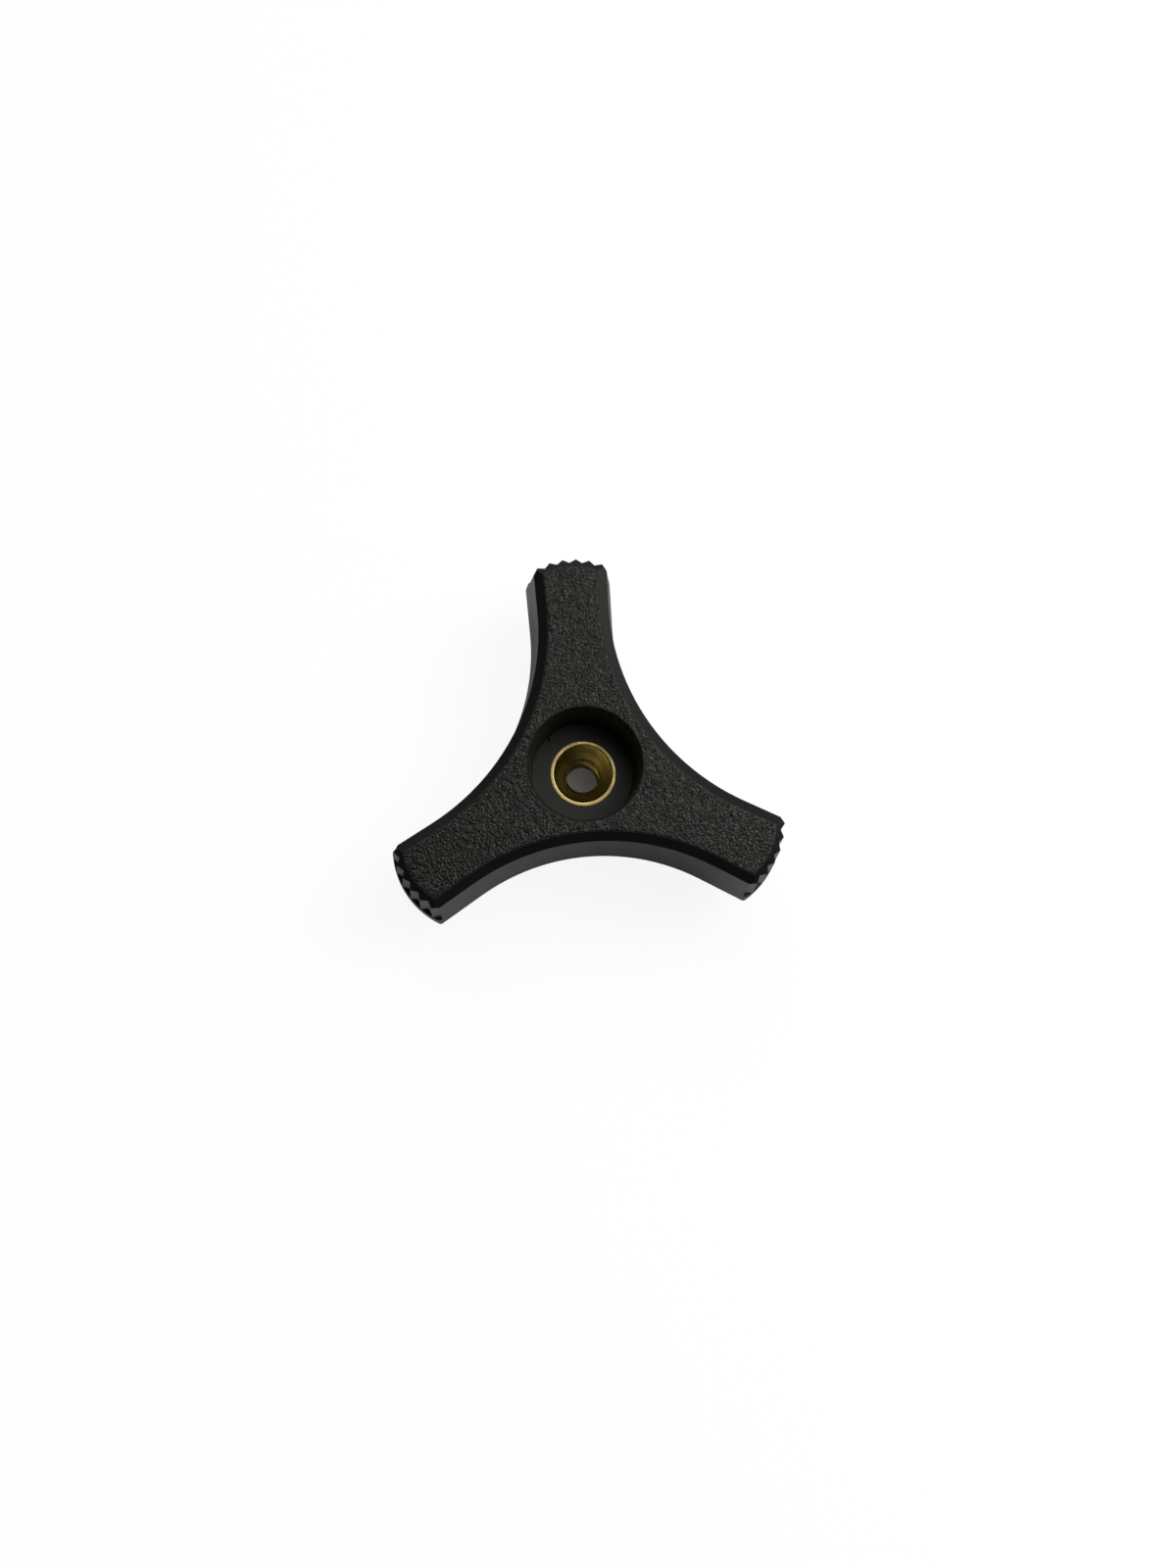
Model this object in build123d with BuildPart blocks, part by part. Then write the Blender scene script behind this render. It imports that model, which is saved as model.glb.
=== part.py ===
"""Three-arm star knob: a moulded body with serrated arm tips and a turned, threaded brass insert.

The origin is on the hub's axis, in the seat face at the foot of the boss. +Z runs up through the hub
to the flat top face, and one arm points along +Y. Sizes are millimetres and degrees.
"""
import os
from math import cos, radians, sin, tan

from build123d import *

# ---- Driving sizes ------------------------------------------------------------------------------
arm_count = 3
first_arm_angle = 90.0

total_height = 22.0  # seat face to top face
arm_thickness = 13.0  # underside of the arms to the top face

# Arm tips, each a cone about its own upright axis, measured at the top bevel's lower edge
tip_circle_diameter = 60.4
tip_radius = 11.2
tip_draft = 7.3

# Sides of the arms: a scallop between two arms that runs on into their straight sides, at the same level
arm_width = 10.3  # at its narrowest
scallop_radius = 32.6
side_flare = 1.3  # of each straight side from the arm's own axis
side_draft = 5.7
corner_radius = 0.6

bevel_width = 1.45  # across the top face
bevel_height = 0.9  # down the side

# Grip serrations on the tips
groove_count = 7
groove_pitch_angle = 10.0
groove_depth = 0.65
plain_band_height = 3.2

# Recess in the hub's top
recess_diameter = 16.0
recess_depth = 10.0
recess_draft = 2.8
recess_edge_break = 0.25

# Boss under the hub
boss_diameter = 17.0
boss_draft = 1.0
boss_edge_break = 0.5
boss_root_radius = 1.0

# Pockets under the arms
pocket_wall = 2.2
pocket_roof = 2.4
pocket_hub_wall = 3.2
pocket_corner_radius = 0.6  # at the tip end
rib_thickness = 1.5
rib_drop = 1.0  # how far the rib stops short of the arm's underside

# Brass insert
insert_diameter = 9.9
insert_proud = 0.15  # above the recess floor
bore_diameter = 5.1  # minor diameter of an M6 thread
mouth_diameter = 8.7
mouth_depth = 0.4
countersink_angle = 90.0
insert_edge_break = 0.15
collar_height = 2.0
knurl_height = 2.6
neck_diameter = 8.6
knurl_count = 24
knurl_depth = 0.35

# ---- Levels and sizes that follow ---------------------------------------------------------------
arm_base = total_height - arm_thickness
bevel_level = total_height - bevel_height
wall_height = bevel_level - arm_base
band_top = arm_base + plain_band_height

tip_axis_distance = tip_circle_diameter / 2 - tip_radius
tip_base_radius = tip_radius + wall_height * tan(radians(tip_draft))
half_gap = 180.0 / arm_count  # angle from a gap's middle to an arm's axis
gap_angle = first_arm_angle + half_gap  # direction of the first gap
scallop_base_radius = scallop_radius - wall_height * tan(radians(side_draft))
scallop_axis_distance = (arm_width / 2 + scallop_radius) / sin(radians(half_gap))
scallop_half_arc = 90.0 - half_gap + side_flare

recess_floor = total_height - recess_depth
recess_radius = recess_diameter / 2
recess_floor_radius = recess_radius - recess_depth * tan(radians(recess_draft))

pocket_height = arm_thickness - pocket_roof
pocket_start = recess_radius + pocket_hub_wall

insert_top = recess_floor + insert_proud
cone_depth = (mouth_diameter - bore_diameter) / 2 / tan(radians(countersink_angle / 2))
bore_top = insert_top - mouth_depth - cone_depth
upper_knurl_base = insert_top - collar_height - knurl_height


def insert_blank():
    """The insert before it is drilled: two plain collars, two knurled bands and a neck between."""
    with BuildPart() as blank:
        with BuildSketch():
            Circle(insert_diameter / 2)
        extrude(amount=insert_top)
        chamfer(blank.edges().group_by(Axis.Z)[-1], length=insert_edge_break)
        # The neck that locks the insert against pulling out
        with BuildSketch(Plane.XY.offset(collar_height + knurl_height)):
            Circle(insert_diameter / 2)
            Circle(neck_diameter / 2, mode=Mode.SUBTRACT)
        extrude(amount=upper_knurl_base - collar_height - knurl_height, mode=Mode.SUBTRACT)
        # Straight knurls that lock it against turning
        for level in (collar_height, upper_knurl_base):
            with BuildSketch(Plane.XY.offset(level)):
                with PolarLocations(insert_diameter / 2, knurl_count):
                    Rectangle(knurl_depth * 2**0.5, knurl_depth * 2**0.5, rotation=45)
            extrude(amount=knurl_height, mode=Mode.SUBTRACT)
    return blank.part


def tip_groove():
    """One serration, leaning with the tip's draft, for a tip whose axis is the origin's Z."""
    crest_angle = radians(groove_pitch_angle / 2)
    root = tip_base_radius - plain_band_height * tan(radians(tip_draft)) - groove_depth
    crest = root + groove_depth
    overshoot = 1.5
    flank_x = overshoot * (crest * cos(crest_angle) - root)
    flank_y = overshoot * crest * sin(crest_angle)
    lean = Vector(-sin(radians(tip_draft)), 0, cos(radians(tip_draft)))
    with BuildPart() as groove:
        with BuildSketch(Plane.XY.offset(band_top)):
            with BuildLine():
                Polyline((root, 0), (root + flank_x, flank_y), (root + flank_x, -flank_y), close=True)
            make_face()
        extrude(amount=arm_thickness, dir=lean)
    return groove.part


def gap_cut(inset, height):
    """What one gap takes from the star, for a gap along +X: the scallop and the two sides beyond it."""
    with BuildPart() as gap:
        with BuildSketch(Plane.XY.offset(arm_base)):
            with BuildLine():
                scallop = CenterArc(
                    (scallop_axis_distance, 0),
                    scallop_base_radius + inset,
                    180 - scallop_half_arc,
                    2 * scallop_half_arc,
                )
                first_side = PolarLine(scallop @ 0, tip_circle_diameter / 2, 90 - scallop_half_arc)
                second_side = PolarLine(scallop @ 1, tip_circle_diameter / 2, scallop_half_arc - 90)
                Line(first_side @ 1, second_side @ 1)
            make_face()
        extrude(amount=height, taper=-side_draft)
    return gap.part


def knob_form(inset, height):
    """The star from the arms' underside up: hub web and tip cones, with the gaps cut from them."""
    tip_foot = tip_base_radius - inset
    upright = (Align.CENTER, Align.CENTER, Align.MIN)
    with BuildPart() as form:
        with Locations((0, 0, arm_base)):
            Cylinder(tip_axis_distance, height, align=upright)
            with PolarLocations(tip_axis_distance, arm_count, start_angle=first_arm_angle):
                Cone(tip_foot, tip_foot - height * tan(radians(tip_draft)), height, align=upright)
        with PolarLocations(0, arm_count, start_angle=gap_angle):
            add(gap_cut(inset, height), mode=Mode.SUBTRACT)
    return form.part


def tip_corners(part, height):
    """The upright edges where an arm's end meets its sides, on a part that is `height` tall."""
    corner_distance = tip_axis_distance + tip_radius / 2
    return [
        edge
        for edge in part.edges()
        if edge.bounding_box().size.Z > height / 2
        and Vector(edge.center().X, edge.center().Y).length > corner_distance
    ]


def arm_pockets():
    """The pockets under the arms: the star's own form drawn in by the wall, with a rib left in each."""
    with BuildPart() as pockets:
        add(knob_form(pocket_wall, pocket_height))
        with BuildSketch(Plane.XY.offset(arm_base)):
            Circle(pocket_start)
        extrude(amount=pocket_height, mode=Mode.SUBTRACT)
        fillet(tip_corners(pockets, pocket_height), radius=pocket_corner_radius)
        # The rib's space runs past both ends of the pocket, so the rib meets the walls
        with BuildSketch(Plane.XY.offset(arm_base + rib_drop)):
            with PolarLocations(tip_axis_distance, arm_count, start_angle=first_arm_angle):
                Rectangle(2 * tip_radius, rib_thickness)
        extrude(amount=pocket_height, mode=Mode.SUBTRACT)
    return pockets.part


# ---- Knob body ----------------------------------------------------------------------------------
with BuildPart() as knob_body:
    add(knob_form(0, arm_thickness))
    # Bevel round the whole top face, mitred at the corners
    top_face = knob_body.faces().sort_by(Axis.Z)[-1]
    chamfer(top_face.edges(), length=bevel_width, length2=bevel_height, reference=top_face)
    fillet(tip_corners(knob_body, wall_height), radius=corner_radius)

    # Serrations on each tip
    groove_fan = (groove_count - 1) * groove_pitch_angle
    with PolarLocations(tip_axis_distance, arm_count, start_angle=first_arm_angle):
        with PolarLocations(0, groove_count, -groove_fan / 2, groove_fan, endpoint=True):
            add(tip_groove(), mode=Mode.SUBTRACT)

    add(arm_pockets(), mode=Mode.SUBTRACT)

    # Boss under the hub
    with BuildSketch(Plane.XY.offset(arm_base)):
        Circle(boss_diameter / 2)
    extrude(amount=-arm_base, taper=boss_draft)
    boss_root = knob_body.edges(Select.LAST).group_by(Axis.Z)[-1]
    fillet(boss_root, radius=boss_root_radius)
    chamfer(knob_body.edges().group_by(Axis.Z)[0], length=boss_edge_break)

    # Recess in the hub's top, turned as one profile that narrows to its floor
    with BuildSketch(Plane.XZ):
        with BuildLine():
            Polyline(
                (0, recess_floor),
                (recess_floor_radius, recess_floor),
                (recess_radius, total_height - recess_edge_break),
                (recess_radius + recess_edge_break, total_height),
                (0, total_height),
                close=True,
            )
        make_face()
    revolve(axis=Axis.Z, mode=Mode.SUBTRACT)

    # Seat moulded round the insert
    add(insert_blank(), mode=Mode.SUBTRACT)
knob_body.part.label = "knob_body"

# ---- Brass insert -------------------------------------------------------------------------------
with BuildPart() as brass_insert:
    add(insert_blank())
    # Straight mouth, countersink and through bore, turned as one profile
    with BuildSketch(Plane.XZ):
        with BuildLine():
            Polyline(
                (0, 0),
                (bore_diameter / 2, 0),
                (bore_diameter / 2, bore_top),
                (mouth_diameter / 2, insert_top - mouth_depth),
                (mouth_diameter / 2, insert_top),
                (0, insert_top),
                close=True,
            )
        make_face()
    revolve(axis=Axis.Z, mode=Mode.SUBTRACT)
brass_insert.part.label = "brass_insert"

os.makedirs("parts", exist_ok=True)
export_step(knob_body.part, "parts/knob_body.step")
export_step(brass_insert.part, "parts/brass_insert.step")
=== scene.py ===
"""Looks for the three-arm star knob: plastic and brass finishes, a threaded insert, floor, lights, camera."""
from math import ceil, cos, pi, radians, sin

import bmesh
import bpy
from mathutils import Euler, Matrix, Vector, noise
from mathutils.bvhtree import BVHTree
from mathutils.geometry import delaunay_2d_cdt
from mathutils.kdtree import KDTree


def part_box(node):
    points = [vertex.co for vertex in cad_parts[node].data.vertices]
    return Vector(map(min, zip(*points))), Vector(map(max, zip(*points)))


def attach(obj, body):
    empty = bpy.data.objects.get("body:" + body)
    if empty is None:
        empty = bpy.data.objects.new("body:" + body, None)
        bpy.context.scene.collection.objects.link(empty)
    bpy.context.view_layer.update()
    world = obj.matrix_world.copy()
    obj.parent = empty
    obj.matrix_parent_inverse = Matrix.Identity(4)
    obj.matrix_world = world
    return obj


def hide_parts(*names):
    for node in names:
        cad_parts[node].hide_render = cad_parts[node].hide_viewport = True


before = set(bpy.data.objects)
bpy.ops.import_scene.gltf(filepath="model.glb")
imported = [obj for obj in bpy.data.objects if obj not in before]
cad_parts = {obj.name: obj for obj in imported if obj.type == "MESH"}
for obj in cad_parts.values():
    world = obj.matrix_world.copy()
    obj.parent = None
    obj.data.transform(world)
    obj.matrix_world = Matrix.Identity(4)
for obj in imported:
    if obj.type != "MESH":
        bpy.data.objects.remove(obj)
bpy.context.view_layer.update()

MM = 0.001

# ---- Levels and sizes from the frame ------------------------------------------------------------
body_low, body_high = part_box("knob_body")
insert_low, insert_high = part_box("brass_insert")
top_level = body_high.z
insert_top = insert_high.z
insert_radius = (insert_high.x - insert_low.x) / 2
seat_level = body_low.z

# Sizes of the insert that the frame's box doesn't give, as in the part's source
bore_radius = 2.55 * MM
mouth_radius = 4.35 * MM
mouth_depth = 0.4 * MM
edge_break = 0.15 * MM
collar_height = 2.0 * MM
knurl_height = 2.6 * MM
neck_radius = 4.3 * MM
knurl_count = 24
knurl_depth = 0.35 * MM
insert_proud = 0.15 * MM
recess_floor_level = insert_top - insert_proud

# Without a seed, noise_vector() has new offsets each run; 0 would seed it from the clock
grain_seed = 1

# The thread, which the part's source leaves out, and where the plain bore above it ends
thread_pitch = 1.0 * MM
thread_root_radius = 3.0 * MM
plain_bore_foot = 8.9 * MM
thread_top = 8.6 * MM
foot_chamfer = 0.5 * MM


# ---- Node helpers -------------------------------------------------------------------------------
def new_material(name):
    """An empty node material with its Principled shader."""
    material = bpy.data.materials.new(name)
    material.use_nodes = True
    tree = material.node_tree
    shader = tree.nodes["Principled BSDF"]
    return material, tree, shader


def add_node(tree, kind, inputs=None, **settings):
    """A node with its settings, and its inputs set to constants or linked to sockets."""
    node = tree.nodes.new(kind)
    for key, value in settings.items():
        setattr(node, key, value)
    for key, value in (inputs or {}).items():
        if isinstance(value, bpy.types.NodeSocket):
            tree.links.new(value, node.inputs[key])
        else:
            node.inputs[key].default_value = value
    return node


def math(tree, operation, a, b):
    """The output socket of a Math node."""
    return add_node(tree, "ShaderNodeMath", {0: a, 1: b}, operation=operation).outputs[0]


def ramp(tree, factor, low, high, out_low=0.0, out_high=1.0):
    """A smooth step from out_low to out_high as factor goes from low to high."""
    node = add_node(
        tree,
        "ShaderNodeMapRange",
        {"Value": factor, "From Min": low, "From Max": high, "To Min": out_low, "To Max": out_high},
        interpolation_type="SMOOTHSTEP",
    )
    return node.outputs["Result"]


def mix_colour(tree, factor, a, b):
    """The output socket of a colour mix."""
    node = add_node(tree, "ShaderNodeMix", data_type="RGBA")
    for socket, value in ((node.inputs[0], factor), (node.inputs[6], a), (node.inputs[7], b)):
        if isinstance(value, bpy.types.NodeSocket):
            tree.links.new(value, socket)
        else:
            socket.default_value = value
    return node.outputs[2]


def noise_texture(tree, place, scale, detail, roughness=0.5):
    """A noise texture node on the object's own coordinates."""
    inputs = {"Vector": place, "Scale": scale, "Detail": detail, "Roughness": roughness}
    return add_node(tree, "ShaderNodeTexNoise", inputs)


def axis_radius(tree, split):
    """The distance from the knob's upright axis, from separated coordinates."""
    flat = add_node(tree, "ShaderNodeCombineXYZ", {"X": split.outputs["X"], "Y": split.outputs["Y"]})
    return add_node(
        tree, "ShaderNodeVectorMath", {0: flat.outputs[0]}, operation="LENGTH"
    ).outputs["Value"]


# ---- Materials ----------------------------------------------------------------------------------
def moulded_plastic():
    """Black moulded plastic: spark-eroded grain on the flat top, smooth matte elsewhere."""
    material, tree, shader = new_material("moulded_plastic")
    place = add_node(tree, "ShaderNodeTexCoord").outputs["Object"]
    split = add_node(tree, "ShaderNodeSeparateXYZ", {0: place})
    height = split.outputs["Z"]
    on_top = ramp(tree, height, top_level - 0.14 * MM, top_level - 0.08 * MM)

    # The grain: flat-topped islands with sharp valleys that wander between them, and finer pits
    warp = noise_texture(tree, place, 1500.0, 2.0)
    bent = add_node(
        tree,
        "ShaderNodeVectorMath",
        {0: warp.outputs["Color"], 1: (0.0005, 0.0005, 0.0005), 2: place},
        operation="MULTIPLY_ADD",
    ).outputs[0]
    islands = add_node(
        tree, "ShaderNodeTexVoronoi", {"Vector": bent, "Scale": 2100.0}, feature="DISTANCE_TO_EDGE"
    ).outputs["Distance"]
    islands = ramp(tree, islands, 0.0, 0.28)
    swell = noise_texture(tree, place, 1100.0, 2.0).outputs["Fac"]
    fine = noise_texture(tree, place, 4200.0, 2.0, 0.6).outputs["Fac"]
    grain = math(tree, "ADD", islands, math(tree, "MULTIPLY", swell, 1.1))
    grain = math(tree, "ADD", grain, math(tree, "MULTIPLY", fine, 0.7))
    grain_depth = math(tree, "MULTIPLY", grain, on_top)

    # Faint unevenness of the smooth walls
    skin = noise_texture(tree, place, 1200.0, 3.0).outputs["Fac"]
    skin_depth = math(tree, "MULTIPLY", skin, 0.12)
    relief = math(tree, "ADD", grain_depth, skin_depth)

    # A small nick in the corner of the recess floor
    nick = Vector((-4.6 * MM, 5.8 * MM, recess_floor_level + 0.25 * MM))
    to_nick = add_node(
        tree, "ShaderNodeVectorMath", {0: bent, 1: nick}, operation="DISTANCE"
    ).outputs["Value"]
    relief = math(tree, "ADD", relief, ramp(tree, to_nick, 0.0, 0.4 * MM, -2.5, 0.0))

    in_recess = ramp(tree, axis_radius(tree, split), 8.2 * MM, 8.6 * MM, 1.0, 0.0)
    soft_edges = add_node(tree, "ShaderNodeBevel", {"Radius": 0.13 * MM}, samples=6).outputs["Normal"]
    bump = add_node(
        tree,
        "ShaderNodeBump",
        {"Height": relief, "Strength": 1.0, "Distance": 0.06 * MM, "Normal": soft_edges},
    ).outputs["Normal"]
    tree.links.new(bump, shader.inputs["Normal"])

    blotch = noise_texture(tree, place, 120.0, 3.0).outputs["Fac"]
    colour = mix_colour(tree, blotch, (0.0034, 0.0038, 0.0032, 1), (0.0052, 0.0056, 0.0048, 1))
    tree.links.new(colour, shader.inputs["Base Color"])

    # The recess wall is duller than the rest of the smooth skin
    off_floor = ramp(tree, height, recess_floor_level + 0.05 * MM, recess_floor_level + 0.6 * MM)
    dull = math(tree, "MULTIPLY", off_floor, in_recess)
    rough = ramp(tree, on_top, 0.0, 1.0, 0.4, 0.31)
    rough = math(tree, "ADD", rough, math(tree, "MULTIPLY", dull, 0.25))
    tree.links.new(rough, shader.inputs["Roughness"])
    shader.inputs["IOR"].default_value = 1.46
    shader.inputs["Specular Tint"].default_value = (0.94, 1.0, 0.9, 1)
    return material


def turned_brass():
    """Brass with the fine rings that a lathe leaves, a little tarnish, and painted shade: darker below the
    rim.
    """
    material, tree, shader = new_material("turned_brass")
    place = add_node(tree, "ShaderNodeTexCoord").outputs["Object"]
    split = add_node(tree, "ShaderNodeSeparateXYZ", {0: place})
    slope = math(tree, "MULTIPLY", split.outputs["Z"], 0.7)
    along = math(tree, "ADD", axis_radius(tree, split), slope)
    rings = add_node(
        tree,
        "ShaderNodeTexNoise",
        {"W": math(tree, "MULTIPLY", along, 7000.0), "Scale": 1.0, "Detail": 2.0},
        noise_dimensions="1D",
    ).outputs["Fac"]
    dents = noise_texture(tree, place, 900.0, 2.0).outputs["Fac"]
    on_rim = ramp(tree, split.outputs["Z"], insert_top - 0.4 * MM, insert_top - 0.25 * MM)
    relief = math(tree, "ADD", rings, math(tree, "MULTIPLY", math(tree, "MULTIPLY", dents, on_rim), 1.2))
    bump = add_node(
        tree, "ShaderNodeBump", {"Height": relief, "Strength": 1.0, "Distance": 0.007 * MM}
    ).outputs["Normal"]
    tree.links.new(bump, shader.inputs["Normal"])
    tarnish = ramp(tree, noise_texture(tree, place, 520.0, 3.0).outputs["Fac"], 0.35, 0.65)
    bright = mix_colour(tree, tarnish, (0.80, 0.67, 0.27, 1), (0.56, 0.44, 0.16, 1))
    # Below the rim the brass is a darker brown: painted shade for the countersink, bore and thread
    colour = mix_colour(tree, on_rim, (0.54, 0.45, 0.20, 1), bright)
    tree.links.new(colour, shader.inputs["Base Color"])
    shader.inputs["Metallic"].default_value = 1.0
    rough = math(tree, "ADD", 0.19, math(tree, "MULTIPLY", math(tree, "MULTIPLY", tarnish, on_rim), 0.16))
    tree.links.new(rough, shader.inputs["Roughness"])
    return material


# ---- The grained body ---------------------------------------------------------------------------
def grain_height(x, y):
    """The spark-eroded grain, in millimetres: low islands that run together, with valleys between."""
    place = Vector((x, y, 0.0))
    bent = place * 1.7 + noise.noise_vector(place * 1.5) * 0.55
    near, next_near = noise.voronoi(bent)[0][:2]
    island = min(1.0, (next_near - near) / 0.4)
    island = island * island * (3 - 2 * island)
    swell = noise.noise(place * 1.1 + Vector((7, 3, 0)))
    fine = noise.noise(place * 4.5)
    return 0.06 * (island - 0.6) + 0.03 * swell + 0.02 * fine


def add_body():
    """The moulded body, with its top face re-meshed to carry the grain and a worn round edge."""
    noise.seed_set(grain_seed)
    longest = 0.18 * MM  # of a step along the border
    # In millimetres, as grain_height() is
    spacing = 0.17  # of the grid
    border_gap = 0.09  # between the border and the grid's first points
    edge_round = 0.22  # how far in the face starts to roll over
    edge_drop = 0.026
    slide, slide_waver = 0.045, 0.02  # how far the border slides down the bevel
    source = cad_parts["knob_body"].data
    bm = bmesh.new()
    bm.from_mesh(source)
    bmesh.ops.remove_doubles(bm, verts=bm.verts, dist=0.001 * MM)
    level = top_level - 0.002 * MM
    flat = {f for f in bm.faces if all(v.co.z > level for v in f.verts)}
    corners = [v.co.copy() for f in flat for v in f.verts]
    cover = BVHTree.FromPolygons(corners, [(i, i + 1, i + 2) for i in range(0, len(corners), 3)])

    def on_face(x, y):
        start = Vector((x * MM, y * MM, top_level + 1 * MM))
        return cover.ray_cast(start, Vector((0, 0, -1)))[0] is not None

    border = [e for e in bm.edges if sum(f in flat for f in e.link_faces) == 1]
    bmesh.ops.delete(bm, geom=list(flat), context="FACES")

    # Short steps along the border, so that the worn edge can waver
    short = []
    while border:
        edge = border.pop()
        if edge.calc_length() > longest:
            border += [edge, bmesh.utils.edge_split(edge, edge.verts[0], 0.5)[0]]
        else:
            short.append(edge)
    bm.normal_update()
    ends = list(dict.fromkeys(v for e in short for v in e.verts))
    number = {v: i for i, v in enumerate(ends)}
    plan = [Vector((v.co.x / MM, v.co.y / MM)) for v in ends]
    samples = plan + [(plan[number[e.verts[0]]] + plan[number[e.verts[1]]]) / 2 for e in short]
    nearest = KDTree(len(samples))
    for i, point in enumerate(samples):
        nearest.insert(point.to_3d(), i)
    nearest.balance()

    # The grid that fills the face
    reach = max(max(abs(point.x), abs(point.y)) for point in plan)
    count = ceil(reach / spacing) + 1
    inner, gaps = [], []
    for row in range(-count, count + 1):
        y = row * spacing * cos(radians(30))
        for column in range(-count, count + 1):
            x = (column + 0.5 * (row % 2)) * spacing
            if on_face(x, y):
                gap = nearest.find((x, y, 0))[2]
                if gap > border_gap:
                    inner.append(Vector((x, y)))
                    gaps.append(gap)
    wired = [tuple(number[v] for v in e.verts) for e in short]
    _, _, faces, origins, _, _ = delaunay_2d_cdt(plan + inner, wired, [], 0, 1e-4)

    made = []
    for point, gap in zip(inner, gaps):
        roll = max(0.0, 1 - gap / edge_round)
        z = grain_height(point.x, point.y) * (1 - roll) - edge_drop * roll**2
        made.append(bm.verts.new((point.x * MM, point.y * MM, top_level + z * MM)))
    vertices = ends + made
    # A triangle is kept if a grid point's triangle reaches it without crossing the border
    trios = [tuple(origins[i][0] for i in face) for face in faces]
    fence = {frozenset(pair) for pair in wired}
    sharing = {}
    for k, trio in enumerate(trios):
        for pair in zip(trio, trio[1:] + trio[:1]):
            sharing.setdefault(frozenset(pair), []).append(k)
    waiting = [k for k, trio in enumerate(trios) if max(trio) >= len(ends)]
    kept = set(waiting)
    while waiting:
        trio = trios[waiting.pop()]
        for pair in map(frozenset, zip(trio, trio[1:] + trio[:1])):
            if pair not in fence:
                fresh = [k for k in sharing[pair] if k not in kept]
                kept.update(fresh)
                waiting += fresh
    grain_faces = {bm.faces.new([vertices[i] for i in trios[k]]) for k in sorted(kept)}

    # The worn edge: each border point slides down the bevel a little
    slides = []
    outer = [[f for f in v.link_faces if f.normal.z < 0.999 and f.normal.length > 0.5] for v in ends]
    for vertex, faces in zip(ends, outer):
        normal = sum((f.normal for f in faces), Vector()).normalized()
        down = Vector((normal.x * normal.z, normal.y * normal.z, normal.z**2 - 1))
        amount = slide + slide_waver * noise.noise(vertex.co / MM * 2.2)
        slides.append(down.normalized() * amount * MM)
    for vertex, step in zip(ends, slides):
        vertex.co += step
    bmesh.ops.triangulate(bm, faces=[f for f in bm.faces if len(f.verts) > 3])
    bmesh.ops.recalc_face_normals(bm, faces=bm.faces)
    # Creases stay sharp, except inside the grain
    for edge in bm.edges:
        grained = all(face in grain_faces for face in edge.link_faces)
        edge.smooth = grained or edge.calc_face_angle(0.0) < radians(14)
    for face in bm.faces:
        face.smooth = True
    mesh = bpy.data.meshes.new("grained_body")
    bm.to_mesh(mesh)
    bm.free()
    # The solid's own shading normals don't fit the new faces
    if "custom_normal" in mesh.attributes:
        mesh.attributes.remove(mesh.attributes["custom_normal"])
    piece = bpy.data.objects.new("grained_body", mesh)
    bpy.context.scene.collection.objects.link(piece)
    mesh.materials.append(plastic)
    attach(piece, "root")
    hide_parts("knob_body")


# ---- The threaded insert ------------------------------------------------------------------------
def rounded(points, radius, steps=3):
    """A profile of (r, z) points with its inner corners rounded."""
    out = [points[0]]
    for before, corner, after in zip(points, points[1:], points[2:]):
        before, corner, after = Vector(before), Vector(corner), Vector(after)
        reach = min(radius, (before - corner).length * 0.45, (after - corner).length * 0.45)
        start = corner + (before - corner).normalized() * reach
        end = corner + (after - corner).normalized() * reach
        for i in range(steps + 1):
            s = i / steps
            out.append(tuple(start * (1 - s) ** 2 + corner * 2 * s * (1 - s) + end * s**2))
    out.append(points[-1])
    return out


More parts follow.
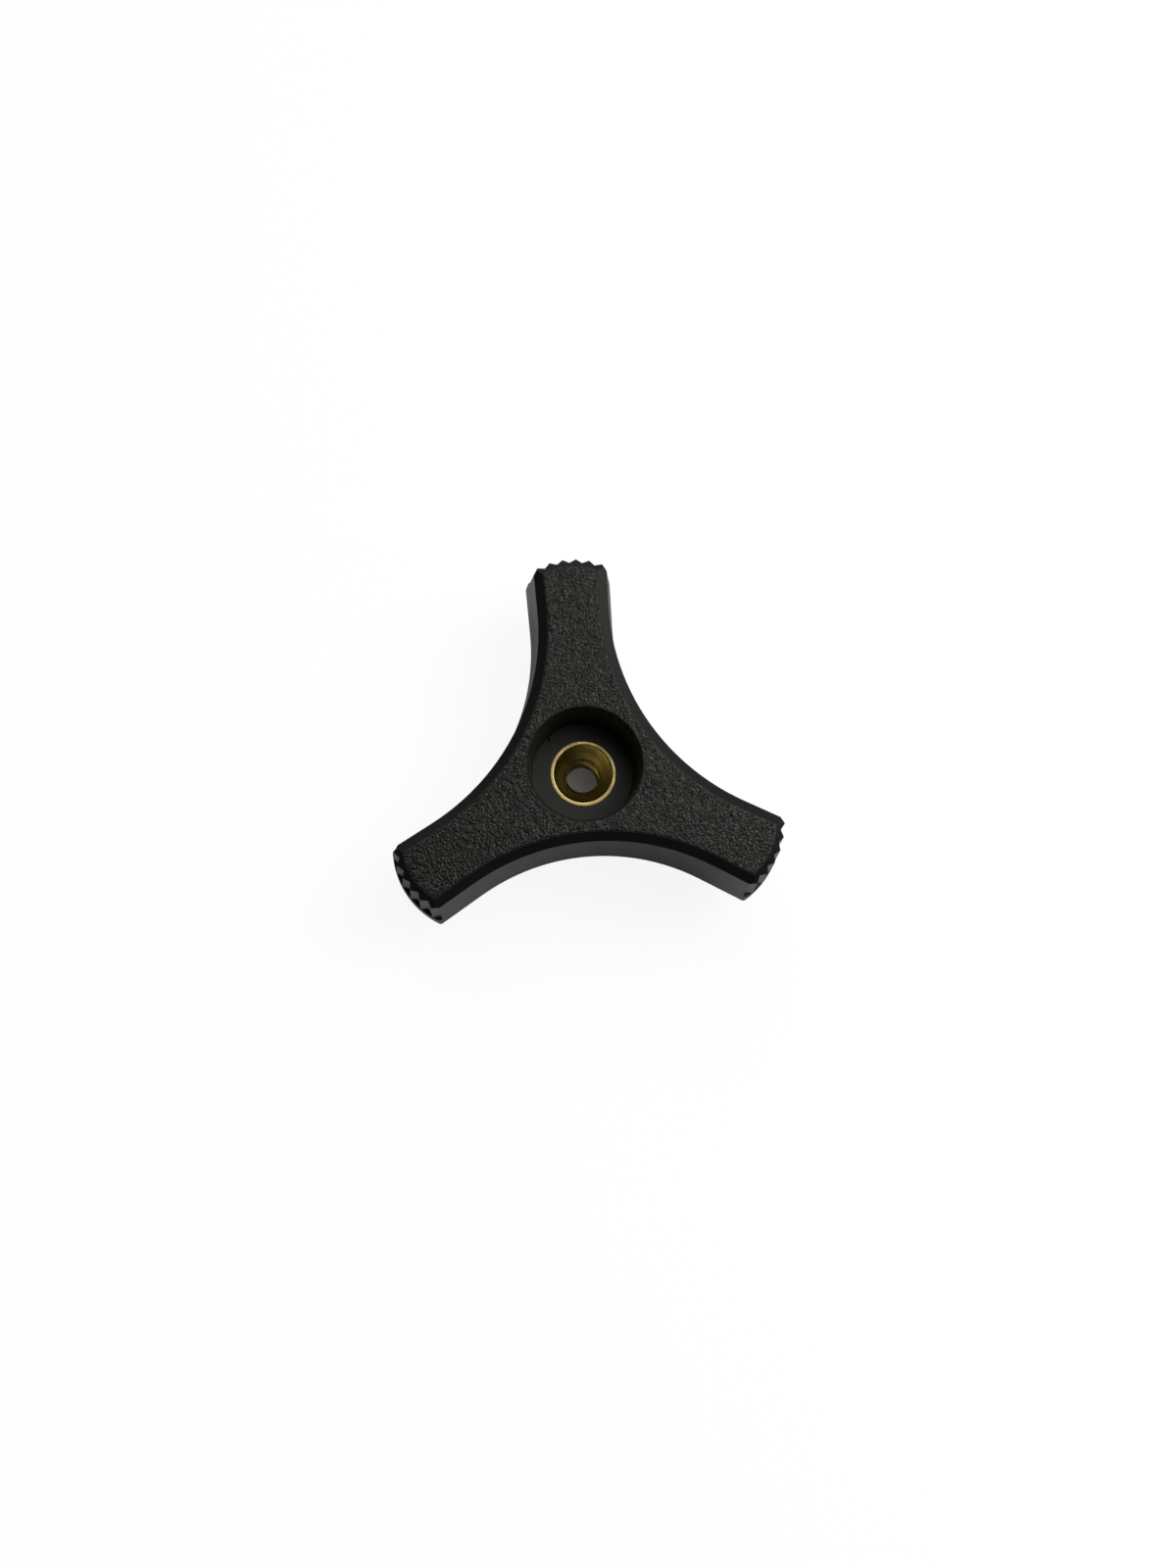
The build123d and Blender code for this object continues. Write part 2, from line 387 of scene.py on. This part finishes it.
def add_insert():
    """The turned brass insert: knurled outside with collars, countersunk mouth, and an M6 thread."""
    low, high = insert_low.z, insert_high.z
    groove_half = 4.05  # degrees, half of a V groove
    offsets = (-groove_half, -2.0, 0.0, 2.0, groove_half, 5.8, 7.5, 9.2)
    step = 360 / knurl_count
    angles = [radians(step * k + offset) for k in range(knurl_count) for offset in offsets]
    bands = (
        (low + collar_height, low + collar_height + knurl_height),
        (high - collar_height - knurl_height, high - collar_height),
    )

    def knurled(r, z, angle):
        """The radius at a point of the profile, cut by a V groove on the outside of a band."""
        if r < insert_radius - 0.01 * MM or not any(start < z < end for start, end in bands):
            return r
        across = abs((angle + radians(step / 2)) % radians(step) - radians(step / 2))
        return r - knurl_depth * max(0.0, 1 - across / radians(groove_half))

    # Outside, from the foot of the bore up to the crowned rim
    ease = 0.02 * MM
    neck_slope = 0.12 * MM
    funnel = mouth_radius - bore_radius
    lower, upper = bands
    outside = [
        (bore_radius + 0.35 * MM, low),
        (insert_radius, low),
        (insert_radius, lower[0] - ease),
        (insert_radius, lower[0] + ease),
        (insert_radius, lower[1] - ease),
        (neck_radius, lower[1] + neck_slope),
        (neck_radius, upper[0] - neck_slope),
        (insert_radius, upper[0] + ease),
        (insert_radius, upper[1] - ease),
        (insert_radius, upper[1] + ease),
        (insert_radius, high),
        (insert_radius - 0.3 * MM, high),
        (mouth_radius, high),
        (mouth_radius, high - mouth_depth),
        (mouth_radius - funnel * 0.5, high - mouth_depth - funnel * 0.5),
        (bore_radius, high - mouth_depth - funnel),
        (bore_radius, plain_bore_foot),
    ]
    outline = rounded(outside, edge_break)

    # The thread, from below the countersink down to the foot
    z_high, z_low = thread_top, low
    crest, root = bore_radius, thread_root_radius
    middle = (crest + root) / 2
    shares = (0.0, 0.1775, 0.30, 0.4375, 0.5625, 0.70, 0.8225)
    radii = (crest, crest, middle, root, root, middle, crest)
    turns = ceil((z_high - z_low) / thread_pitch) + 2
    rows = turns * len(shares) + 1

    def thread_point(row, angle):
        """The radius and height of a point of the thread, which runs out at its top."""
        turn, place = divmod(row, len(shares))
        z = z_low - 2 * thread_pitch + (turn + shares[place]) * thread_pitch
        z += thread_pitch * angle / (2 * pi)
        fade = min(1.0, max(0.0, (z_high - z) / (0.8 * thread_pitch)))
        r = crest + (radii[place] - crest) * fade
        z = min(max(z, z_low), z_high)
        return max(r, bore_radius + foot_chamfer - (z - z_low)), z

    bm = bmesh.new()
    columns = []
    for angle in angles:
        turn = angle % (2 * pi)
        ring = [(knurled(r, z, angle), z) for r, z in outline]
        thread = [thread_point(row, turn) for row in range(rows)]
        columns.append(
            [
                [bm.verts.new((r * cos(angle), r * sin(angle), z)) for r, z in part]
                for part in (ring, thread)
            ]
        )

    # The grooves' count starts at the first offset, so its angle is just under zero
    wrap_at = next(i for i, angle in enumerate(angles) if angle >= 0)
    per_turn = len(shares)
    for k, (here, there) in enumerate(zip(columns, columns[1:] + columns[:1])):
        for a, b, c, d in zip(here[0], there[0], there[0][1:], here[0][1:]):
            bm.faces.new((a, b, c, d))
        offset = per_turn if (k + 1) % len(columns) == wrap_at else 0
        one, two = here[1], there[1]
        for row in range(rows - 1):
            near, far = min(row + offset, rows - 1), min(row + 1 + offset, rows - 1)
            quad = []
            for vert in (one[row], one[row + 1], two[far], two[near]):
                if vert not in quad:
                    quad.append(vert)
            if len(quad) > 2:
                bm.faces.new(quad)
        # Foot and top of the thread, joined to the outline's two ends
        bm.faces.new((here[0][-1], there[0][-1], two[-1], one[-1]))
        bm.faces.new((one[0], two[0], there[0][0], here[0][0]))
    bmesh.ops.remove_doubles(bm, verts=bm.verts, dist=0.002 * MM)
    bmesh.ops.dissolve_degenerate(bm, edges=bm.edges, dist=0.002 * MM)
    bmesh.ops.recalc_face_normals(bm, faces=bm.faces)
    mesh = bpy.data.meshes.new("threaded_insert")
    bm.to_mesh(mesh)
    bm.free()
    for face in mesh.polygons:
        face.use_smooth = True
    mesh.set_sharp_from_angle(angle=radians(32))
    piece = bpy.data.objects.new("threaded_insert", mesh)
    bpy.context.scene.collection.objects.link(piece)
    mesh.materials.append(brass)
    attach(piece, "root")
    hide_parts("brass_insert")


# ---- The scene's setting ------------------------------------------------------------------------
def add_floor():
    """A plain pale floor. Away from the boss it is partly lit by itself, to stay near white; by the boss only
    a faint painted glow is left, which lightens the ground seen through the bore.

    Gloss sees only a little of that light, because a floor this bright washes out black plastic.
    """
    size = 1.5
    own_light_share = 0.8
    own_light_in_gloss = 0.08
    painted_glow_by_boss = 0.045
    mesh = bpy.data.meshes.new("floor")
    mesh.from_pydata(
        [(-size, -size, 0), (size, -size, 0), (size, size, 0), (-size, size, 0)], [], [(0, 1, 2, 3)]
    )
    floor = bpy.data.objects.new("floor", mesh)
    floor.location.z = seat_level - 0.02 * MM
    bpy.context.scene.collection.objects.link(floor)

    material, tree, shader = new_material("floor_white")
    tree.nodes.remove(shader)
    place = add_node(tree, "ShaderNodeTexCoord").outputs["Object"]
    distance = add_node(
        tree, "ShaderNodeVectorMath", {0: place}, operation="LENGTH"
    ).outputs["Value"]
    # Within 6 mm of the axis the glow drops to 0.045 of full: a faint painted glow that sets the grey of the
    # ground seen through the bore
    clear_of_boss = ramp(tree, distance, 6.0 * MM, 9.0 * MM, painted_glow_by_boss, 1.0)
    path = add_node(tree, "ShaderNodeLightPath").outputs
    seen = math(tree, "MAXIMUM", path["Is Camera Ray"], path["Is Transmission Ray"])
    in_gloss = math(tree, "MULTIPLY", path["Is Glossy Ray"], own_light_in_gloss)
    seen = math(tree, "MAXIMUM", seen, in_gloss)
    share = math(tree, "MULTIPLY", math(tree, "MULTIPLY", seen, clear_of_boss), own_light_share)
    diffuse = add_node(tree, "ShaderNodeBsdfDiffuse", {"Color": (0.75, 0.75, 0.74, 1)})
    glow = add_node(tree, "ShaderNodeEmission", {"Color": (1, 1, 1, 1), "Strength": 1.13})
    mixed = add_node(
        tree, "ShaderNodeMixShader", {0: share, 1: diffuse.outputs[0], 2: glow.outputs[0]}
    )
    tree.links.new(mixed.outputs[0], tree.nodes["Material Output"].inputs["Surface"])
    mesh.materials.append(material)


def unit(azimuth, elevation):
    """The unit vector in a direction given in degrees."""
    a, e = radians(azimuth), radians(elevation)
    return Vector((cos(a) * cos(e), sin(a) * cos(e), sin(e)))


def add_world():
    """Two soft bright areas, a dim band along the horizon, and a dark patch near the zenith.

    The dark patch is there to keep the left arm's top dark, and the camera sees plain white.
    """
    world = bpy.data.worlds.new("studio")
    bpy.context.scene.world = world
    world.use_nodes = True
    tree = world.node_tree
    direction = add_node(tree, "ShaderNodeTexCoord").outputs["Generated"]

    def glow(azimuth, elevation, outer, inner, level_out, level_in):
        """A round soft patch of the surroundings, with its edge between two angles."""
        aim = unit(azimuth, elevation)
        towards = add_node(
            tree, "ShaderNodeVectorMath", {0: direction, 1: aim}, operation="DOT_PRODUCT"
        ).outputs["Value"]
        return ramp(tree, towards, cos(radians(outer)), cos(radians(inner)), level_out, level_in)

    rear_wall = glow(92, 43, 26, 12, 0.0, 1.7)
    ceiling = glow(50, 70, 36, 10, 0.0, 1.3)
    patch = glow(190, 81, 24, 8, 1.0, 0.03)
    height = add_node(tree, "ShaderNodeSeparateXYZ", {0: direction}).outputs["Z"]
    skirting = ramp(tree, height, sin(radians(4)), sin(radians(15)), 0.16, 0.02)
    walls = math(tree, "ADD", math(tree, "ADD", rear_wall, ceiling), skirting)
    room = math(tree, "MULTIPLY", walls, patch)
    seen = add_node(tree, "ShaderNodeLightPath").outputs["Is Camera Ray"]
    strength = math(tree, "MAXIMUM", room, seen)
    tree.links.new(strength, tree.nodes["Background"].inputs["Strength"])
    tree.nodes["Background"].inputs["Color"].default_value = (1.0, 1.0, 1.0, 1)


def add_softbox(name, azimuth, elevation, distance, size, power, target=Vector((0, 0, 0.01))):
    """A square area light that faces the target."""
    lamp = bpy.data.lights.new(name, "AREA")
    lamp.shape = "RECTANGLE"
    lamp.size, lamp.size_y = size
    lamp.energy = power
    box = bpy.data.objects.new(name, lamp)
    away = unit(azimuth, elevation)
    box.location = target + away * distance
    box.rotation_euler = (-away).to_track_quat("-Z", "Y").to_euler()
    bpy.context.scene.collection.objects.link(box)


def add_camera():
    """The viewpoint: nearly overhead, tipped a little towards -Y and -X."""
    data = bpy.data.cameras.new("camera")
    data.sensor_width = 36.0
    data.lens = 27.0
    data.clip_start = 0.001
    camera = bpy.data.objects.new("camera", data)
    camera.location = Vector((-7.374, -25.039, 185.518)) * MM
    camera.rotation_euler = Euler((radians(7.866), radians(-2.026), radians(-4.451)))
    bpy.context.scene.collection.objects.link(camera)
    bpy.context.scene.camera = camera


# ---- Put together -------------------------------------------------------------------------------
plastic = moulded_plastic()
brass = turned_brass()
add_body()
add_insert()

add_floor()
add_world()
add_softbox("key_light", 18, 49, 0.6, (0.36, 0.36), 1.5)
add_camera()
bpy.context.scene.view_settings.view_transform = "Standard"
